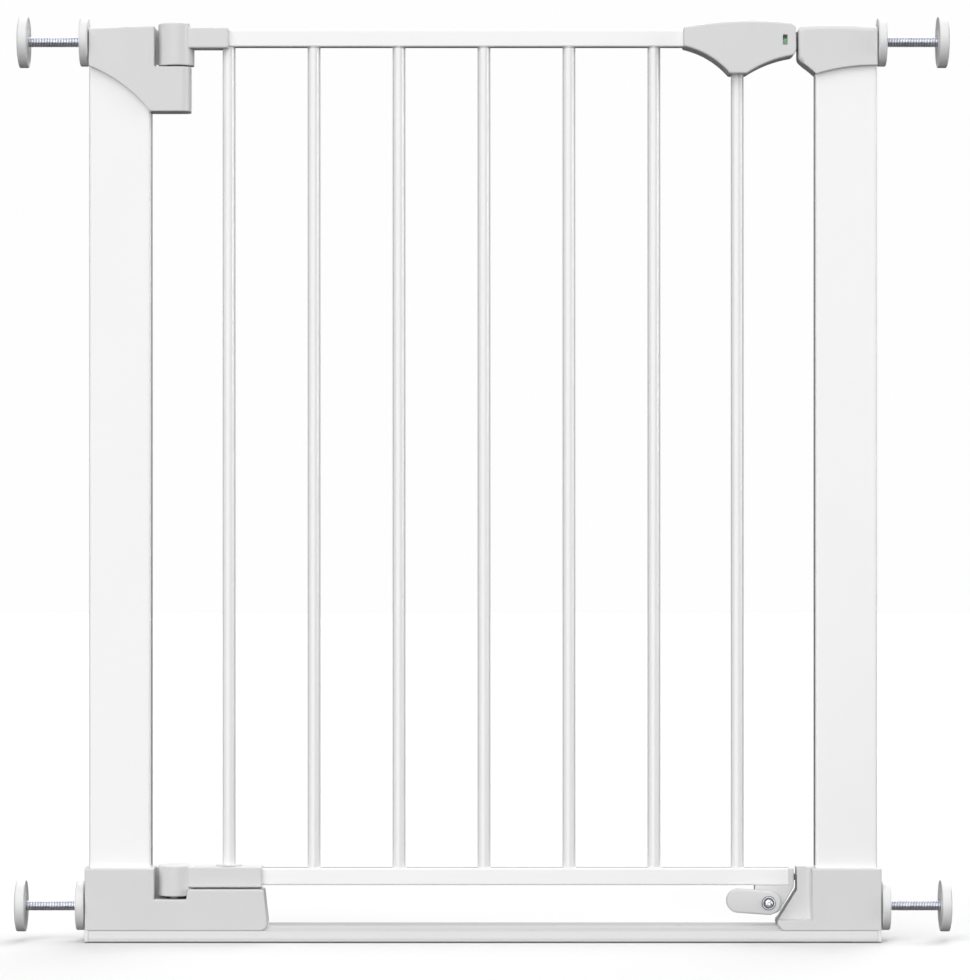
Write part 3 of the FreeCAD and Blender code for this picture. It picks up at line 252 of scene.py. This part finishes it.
def bump(tree, shader, height, distance, strength=1.0, edge=0.0):
    """Fine relief, on edges that look rounded to the radius edge."""
    node = tree.nodes.new("ShaderNodeBump")
    if edge:
        soft = tree.nodes.new("ShaderNodeBevel")
        soft.samples = 4
        soft.inputs["Radius"].default_value = edge
        tree.links.new(soft.outputs["Normal"], node.inputs["Normal"])
    node.inputs["Distance"].default_value = distance
    node.inputs["Strength"].default_value = strength
    tree.links.new(height, node.inputs["Height"])
    tree.links.new(node.outputs["Normal"], shader.inputs["Normal"])


def enamel(name, light, dark, roughness, peel):
    """Powder coat: fine orange peel, faint clouding of colour and gloss."""
    material, tree, shader = new_material(name, light, roughness)
    at = object_coords(tree)
    cloud = noise(tree, at, 22.0, 3.0)
    tint(tree, shader, spread(tree, cloud, 0.0, 1.0), dark, light)
    tree.links.new(spread(tree, noise(tree, at, 60.0, 2.0), roughness - 0.015, roughness + 0.02),
                   shader.inputs["Roughness"])
    bump(tree, shader, noise(tree, at, 900.0, 2.0), peel, edge=0.8 * MM)
    shader.inputs["Coat Weight"].default_value = 0.7
    shader.inputs["Coat Roughness"].default_value = 0.1
    return material


def moulded(name, light, dark, roughness, grain, specular=0.5):
    """Injection-moulded plastic with a fine spark-eroded grain and faint flow marks."""
    material, tree, shader = new_material(name, light, roughness)
    at = object_coords(tree)
    flow = noise(tree, object_coords(tree, (1.0, 1.0, 0.45)), 30.0, 4.0, 0.6)
    tint(tree, shader, spread(tree, flow, 0.0, 1.0), dark, light)
    fine = noise(tree, at, 1600.0, 3.0, 0.65)
    tree.links.new(spread(tree, fine, roughness - 0.06, roughness + 0.08),
                   shader.inputs["Roughness"])
    bump(tree, shader, fine, grain, edge=1.6 * MM)
    shader.inputs["Specular IOR Level"].default_value = specular
    return material


def zinc(name, light, dark, roughness):
    """Zinc plate: bluish metal, clouded, with fine scratches along X."""
    material, tree, shader = new_material(name, light, roughness, 1.0)
    cloud = noise(tree, object_coords(tree), 180.0, 3.0)
    tint(tree, shader, spread(tree, cloud, 0.0, 1.0), dark, light)
    fine = noise(tree, object_coords(tree, (0.1, 1.0, 1.0)), 2400.0, 2.0)
    tree.links.new(spread(tree, fine, roughness - 0.08, roughness + 0.12),
                   shader.inputs["Roughness"])
    bump(tree, shader, fine, 0.00002)
    return material


def lens(name):
    """Clear, faintly green moulded lens."""
    material, _, shader = new_material(name, (0.9, 1.0, 0.92), 0.04)
    shader.inputs["Transmission Weight"].default_value = 1.0
    shader.inputs["IOR"].default_value = 1.49
    return material


MATERIALS = {
    "white_enamel": enamel("white_enamel", (0.90, 0.90, 0.90), (0.892, 0.892, 0.893), 0.17,
                           0.000006),
    "threshold_enamel": enamel("threshold_enamel", (0.61, 0.61, 0.61), (0.60, 0.60, 0.60), 0.3,
                               0.000008),
    "grey_plastic": moulded("grey_plastic", (0.715, 0.715, 0.715), (0.695, 0.695, 0.697), 0.36,
                            0.000012),
    "pad_plastic": moulded("pad_plastic", (0.77, 0.77, 0.77), (0.75, 0.75, 0.75), 0.36, 0.000012),
    "pad_rubber": moulded("pad_rubber", (0.20, 0.20, 0.205), (0.16, 0.16, 0.165), 0.75, 0.00003,
                          0.3),
    # dark_plastic also paints the shade at the top of the indicator window, and dark_steel the
    # shade in the thread roots and on the washer's rim and groove.
    "dark_plastic": moulded("dark_plastic", (0.06, 0.06, 0.06), (0.045, 0.045, 0.045), 0.5,
                            0.00001),
    "zinc_steel": zinc("zinc_steel", (0.86, 0.88, 0.94), (0.76, 0.78, 0.85), 0.28),
    "dark_steel": zinc("dark_steel", (0.16, 0.16, 0.17), (0.11, 0.11, 0.12), 0.35),
    "window_lens": lens("window_lens"),
    "indicator_green": moulded("indicator_green", (0.03, 0.42, 0.09), (0.02, 0.34, 0.07), 0.45,
                               0.00001),
    "indicator_red": moulded("indicator_red", (0.55, 0.02, 0.02), (0.45, 0.02, 0.02), 0.45,
                             0.00001),
}


def dress_cad_nodes():
    """Every CAD node gets its slot's procedural material."""
    for part in record["subparts"]:
        mesh = nodes[part["node"]].data
        mesh.materials.clear()
        mesh.materials.append(MATERIALS[part["material_slot"]])


# ---------------------------------------------------------------- finer meshes
def new_object(name, verts, faces, slot, body, smooth=True):
    """A mesh in the row frame that rides a CAD body and takes a slot's material."""
    mesh = bpy.data.meshes.new(name)
    mesh.from_pydata(verts, [], faces)
    bm = bmesh.new()
    bm.from_mesh(mesh)
    bmesh.ops.recalc_face_normals(bm, faces=bm.faces)
    bm.to_mesh(mesh)
    bm.free()
    mesh.materials.append(MATERIALS[slot])
    if smooth:
        mesh.shade_smooth()
        mesh.set_sharp_from_angle(angle=math.radians(35))
    obj = bpy.data.objects.new(name, mesh)
    bpy.context.scene.collection.objects.link(obj)
    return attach(obj, body)


def ring_faces(rings, around):
    """Quads between neighbouring rings, for vertices listed ring after ring."""
    faces = []
    for ring in range(rings - 1):
        first = ring * around
        for i in range(around):
            k = (i + 1) % around
            faces.append((first + i, first + k, first + around + k, first + around + i))
    return faces


def end_faces(rings, around):
    """Caps over the first and the last ring."""
    last = (rings - 1) * around
    return [tuple(range(around)), tuple(range(last, last + around))]


def rounded(points, radius, steps=5):
    """Profile with an arc of the given radius at every inner corner."""
    out = [points[0]]
    for before, corner, after in zip(points, points[1:], points[2:]):
        corner = Vector(corner)
        back = Vector(before) - corner
        ahead = Vector(after) - corner
        reach = min(radius, back.length / 2.2, ahead.length / 2.2)
        start = corner + back.normalized() * reach
        end = corner + ahead.normalized() * reach
        for i in range(steps + 1):
            t = i / steps
            out.append(tuple(start.lerp(corner, t).lerp(corner.lerp(end, t), t)))
    out.append(points[-1])
    return out


def lathe_x(name, side, z, profile, slot, body, segments=96):
    """Turned piece about a line along X. The profile holds (|X|, radius) pairs."""
    return turned(name, profile, slot, body, segments,
                  lambda x, c, s: (side * x, c, z + s))


def lathe_y(name, x, z, profile, slot, body, segments=64):
    """Turned piece about a line along Y. The profile holds (Y, radius) pairs."""
    return turned(name, profile, slot, body, segments, lambda y, c, s: (x + c, y, z + s))


def turned(name, profile, slot, body, segments, place):
    """Turned piece, where place puts a profile point and its two offsets into the row frame."""
    verts = []
    for along, r in profile:
        for i in range(segments):
            turn = 2 * math.pi * i / segments
            verts.append(place(along, r * math.cos(turn), r * math.sin(turn)))
    return new_object(name, verts, ring_faces(len(profile), segments), slot, body)


def make_thread(corner):
    """Spindle with a real helical thread: every ring is one helix, so the last joins the first."""
    node = "spindle_rod_" + corner
    low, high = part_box(node)
    z = (low.z + high.z) / 2
    radius = (high.z - low.z) / 2
    around = 32
    per_pitch = len(THREAD_SHAPE)
    rows = int((high.x - low.x) / THREAD_PITCH - 1) * per_pitch
    verts = []
    for row in range(rows):
        r = radius - THREAD_DEPTH * (1 - THREAD_SHAPE[row % per_pitch])
        for i in range(around):
            turn = 2 * math.pi * i / around
            x = low.x + THREAD_PITCH * (row / per_pitch + i / around)
            verts.append((x, r * math.cos(turn), z + r * math.sin(turn)))
    faces = []
    for row in range(rows - 1):
        for i in range(around):
            a = row * around + i
            b = a + 1
            if i == around - 1:
                b = (row + per_pitch) * around
                if row + per_pitch + 1 >= rows:
                    continue
            faces.append((a, b, b + around, a + around))
    rod = new_object("thread_" + corner, verts, faces, "zinc_steel", "spindle_" + corner)
    # The rows at the thread's root take dark steel: painted shade in the thread's grooves.
    rod.data.materials.append(MATERIALS["dark_steel"])
    for polygon in rod.data.polygons:
        row = min(polygon.vertices) // around
        polygon.material_index = 1 if row % per_pitch in (0, per_pitch - 1) else 0
    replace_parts(rod, node)


def make_pad(corner):
    """Wall pad: a cup with a hub and soft rims, and a ribbed rubber face."""
    side = -1 if corner.endswith("left") else 1
    low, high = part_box("pad_cup_" + corner)
    inner = min(abs(low.x), abs(high.x))
    outer = max(abs(low.x), abs(high.x))
    z = (low.z + high.z) / 2
    radius = (high.z - low.z) / 2
    rubber_low, rubber_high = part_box("pad_rubber_" + corner)
    face = max(abs(rubber_low.x), abs(rubber_high.x))
    rubber_r = (rubber_high.z - rubber_low.z) / 2
    body = "spindle_" + corner
    cup = rounded([(inner + 4 * MM, ROD_R), (inner, ROD_R), (inner, ROD_R + 4.5 * MM),
                   (inner + 0.5 * MM, ROD_R + 5.5 * MM), (inner + 0.5 * MM, radius - 2.2 * MM),
                   (inner, radius - 1.6 * MM), (inner + 0.2 * MM, radius), (outer, radius),
                   (outer, rubber_r + 0.2 * MM), (outer - 2.0 * MM, rubber_r)], PAD_EDGE_R)
    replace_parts(lathe_x("cup_" + corner, side, z, cup, "pad_plastic", body), "pad_cup_" + corner)
    ribs = [(outer - 2.0 * MM, rubber_r), (face, rubber_r)]
    for i in range(4):
        at = rubber_r - (3.0 + 3.6 * i) * MM
        ribs += [(face, at + 0.6 * MM), (face - 0.7 * MM, at + 0.3 * MM),
                 (face - 0.7 * MM, at - 0.3 * MM), (face, at - 0.6 * MM)]
    ribs.append((face, AXIS_R))
    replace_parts(lathe_x("rubber_" + corner, side, z, ribs, "pad_rubber", body),
                "pad_rubber_" + corner)


def make_wheel(corner):
    """Hand wheel with a soft rim, a dished outer face and a raised hub."""
    side = -1 if corner.endswith("left") else 1
    low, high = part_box("hand_wheel_" + corner)
    inner = min(abs(low.x), abs(high.x))
    outer = max(abs(low.x), abs(high.x))
    z = (low.z + high.z) / 2
    radius = (high.z - low.z) / 2
    profile = [(inner, WHEEL_HUB_R), (inner, radius), (outer, radius),
               (outer, radius - 3.0 * MM), (outer - 0.9 * MM, radius - 4.2 * MM),
               (outer - 0.9 * MM, WHEEL_BORE_R + 5.2 * MM), (outer, WHEEL_BORE_R + 4.2 * MM),
               (outer, WHEEL_BORE_R), (inner + 4.5 * MM, WHEEL_BORE_R),
               (inner + 4.5 * MM, WHEEL_HUB_R), (inner, WHEEL_HUB_R)]
    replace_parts(lathe_x("wheel_" + corner, side, z, rounded(profile, WHEEL_EDGE_R), "pad_plastic",
                        "wheel_" + corner), "hand_wheel_" + corner)


def make_weld_beads():
    """Small weld beads where the bars meet the rails."""
    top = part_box("top_rail")[0].z
    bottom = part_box("bottom_rail")[1].z
    verts, faces = [], []
    around, across = 40, 8
    for bar in BARS:
        low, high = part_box(bar)
        x = (low.x + high.x) / 2
        radius = (high.x - low.x) / 2
        places = [bottom]
        if bar not in ("bar_1", "bar_7"):
            places.append(top)
        for z in places:
            start = len(verts)
            for i in range(around):
                turn = 2 * math.pi * i / around
                wave = 1.0 + 0.12 * math.sin(9 * turn + x * 900)
                for k in range(across):
                    tube = 2 * math.pi * k / across
                    r = radius + 0.05 * MM + 0.55 * MM * wave * math.cos(tube)
                    verts.append((x + r * math.cos(turn), r * math.sin(turn),
                                  z + 0.6 * MM * wave * math.sin(tube)))
            for i in range(around):
                j = (i + 1) % around
                for k in range(across):
                    m = (k + 1) % across
                    faces.append((start + i * across + k, start + j * across + k,
                                  start + j * across + m, start + i * across + m))
    new_object("weld_beads", verts, faces, "white_enamel", "gate")


def block(verts, faces, x0, x1, y0, y1, z0, z1):
    """Adds a box to a vertex and a face list."""
    n = len(verts)
    verts += [(x, y, z) for x in (x0, x1) for y in (y0, y1) for z in (z0, z1)]
    faces += [(n, n + 1, n + 3, n + 2), (n + 4, n + 6, n + 7, n + 5), (n, n + 4, n + 5, n + 1),
              (n + 2, n + 3, n + 7, n + 6), (n, n + 2, n + 6, n + 4), (n + 1, n + 5, n + 7, n + 3)]


def make_lever_rivet():
    """Washer with painted shade on its rim and in its groove, and the rivet's dished head and
    shank.
    """
    low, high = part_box("lever_washer")
    x = (low.x + high.x) / 2
    z = (low.z + high.z) / 2
    radius = (high.x - low.x) / 2
    washer = [(high.y, WASHER_BORE_R), (high.y, radius), (low.y + 0.45 * MM, radius),
              (low.y, radius - 0.6 * MM), (low.y, 4.3 * MM), (low.y + 0.5 * MM, 4.0 * MM),
              (low.y + 0.5 * MM, WASHER_BORE_R), (high.y, WASHER_BORE_R)]
    ring = lathe_y("rivet_washer", x, z, washer, "zinc_steel", "gate")
    ring.data.materials.append(MATERIALS["dark_steel"])
    rim = radius - 0.7 * MM
    groove = 4.25 * MM
    # Polygons on the rim and in the groove take dark steel: painted shade.
    for polygon in ring.data.polygons:
        out = math.hypot(polygon.center.x - x, polygon.center.z - z)
        if out > rim or out < groove:
            polygon.material_index = 1
    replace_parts(ring, "lever_washer")
    screw_low, screw_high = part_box("lever_screw")
    front = screw_low.y
    head = [(screw_high.y, AXIS_R), (screw_high.y, RIVET_SHANK_R),
            (low.y, RIVET_SHANK_R), (low.y, 3.0 * MM),
            (front + 0.9 * MM, 3.0 * MM), (front + 0.2 * MM, 2.5 * MM), (front, 2.0 * MM),
            (front, 1.3 * MM), (front + 0.8 * MM, 1.0 * MM), (front + 0.8 * MM, AXIS_R)]
    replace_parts(lathe_y("rivet", x, z, head, "zinc_steel", "gate"), "lever_screw")


def make_lever():
    """Stop lever with rounded front edges."""
    low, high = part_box("stop_lever")
    washer_low, washer_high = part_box("lever_washer")
    pivot = Vector(((washer_low.x + washer_high.x) / 2, (washer_low.z + washer_high.z) / 2))
    radius = high.x - pivot.x
    tip = Vector((low.x + radius, high.z - radius))
    along = (tip - pivot).normalized()
    side = Vector((-along.y, along.x))
    steps = 28
    rings = [(high.y, 0.0)]
    for i in range(7):
        turn = math.pi / 2 * i / 6
        rings.append((low.y + LEVER_EDGE_R * (1 - math.sin(turn)),
                      LEVER_EDGE_R * (1 - math.cos(turn))))
    verts = []
    for y, inset in rings:
        r = radius - inset
        for centre, start in ((tip, -math.pi / 2), (pivot, math.pi / 2)):
            for i in range(steps):
                turn = start + math.pi * i / (steps - 1)
                at = centre + along * (r * math.cos(turn)) + side * (r * math.sin(turn))
                verts.append((at.x, y, at.y))
    around = 2 * steps
    faces = end_faces(len(rings), around) + ring_faces(len(rings), around)
    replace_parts(new_object("lever", verts, faces, "grey_plastic", "lever"), "stop_lever")


def make_return_spring():
    """Return spring of round wire, built at a single length."""
    low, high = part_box("return_spring")
    middle_z = (low.z + high.z) / 2
    start = low.x + SPRING_WIRE_R
    length = high.x - low.x - 2 * SPRING_WIRE_R
    coil_r = (high.z - low.z) / 2 - SPRING_WIRE_R
    around = 12
    rows = 40 * SPRING_TURNS + 1
    verts = []
    for row in range(rows):
        turn = 2 * math.pi * SPRING_TURNS * row / (rows - 1)
        out = Vector((0, math.cos(turn), math.sin(turn)))
        rise = Vector((length / (2 * math.pi * SPRING_TURNS), 0, 0))
        along = rise + coil_r * Vector((1, 0, 0)).cross(out)
        across = along.normalized().cross(out)
        centre = Vector((start + length * row / (rows - 1), 0, middle_z)) + coil_r * out
        for i in range(around):
            angle = 2 * math.pi * i / around
            offset = math.cos(angle) * out + math.sin(angle) * across
            verts.append(centre + SPRING_WIRE_R * offset)
    faces = end_faces(rows, around) + ring_faces(rows, around)
    spring = new_object("spring", verts, faces, "zinc_steel", "gate")
    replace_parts(spring, "return_spring")
    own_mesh(spring)


def make_window_painted_shade():
    """Dark sheet behind the upper part of the lock's indicator lens: painted shade at the top of
    the window.
    """
    low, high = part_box("indicator_window")
    verts, faces = [], []
    depth = 0.12 * MM
    block(verts, faces, low.x, high.x, high.y, high.y + depth, high.z - 2.8 * MM, high.z)
    new_object("window_painted_shade", verts, faces, "dark_plastic", "gate", smooth=False)


def make_slider_ribs():
    """Grip ribs beside the thumb slider's ridge."""
    low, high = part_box("thumb_slider")
    verts, faces = [], []
    middle = (low.x + high.x) / 2
    for i in range(5):
        x = middle - (6.0 + 2.6 * i) * MM
        block(verts, faces, x - 0.5 * MM, x + 0.5 * MM, -7.0 * MM, 7.0 * MM,
              high.z - SLIDER_RIDGE_H - 3.0 * MM, high.z - SLIDER_RIDGE_H + 0.1 * MM)
    new_object("slider_ribs", verts, faces, "grey_plastic", "lock", smooth=False)


make_camera()
make_world()
make_floor()
dress_cad_nodes()
for corner in CORNERS:
    make_thread(corner)
    make_pad(corner)
    make_wheel(corner)
make_weld_beads()
make_lever_rivet()
make_lever()
make_return_spring()
make_window_painted_shade()
make_slider_ribs()
bpy.context.scene.view_settings.view_transform = "Standard"
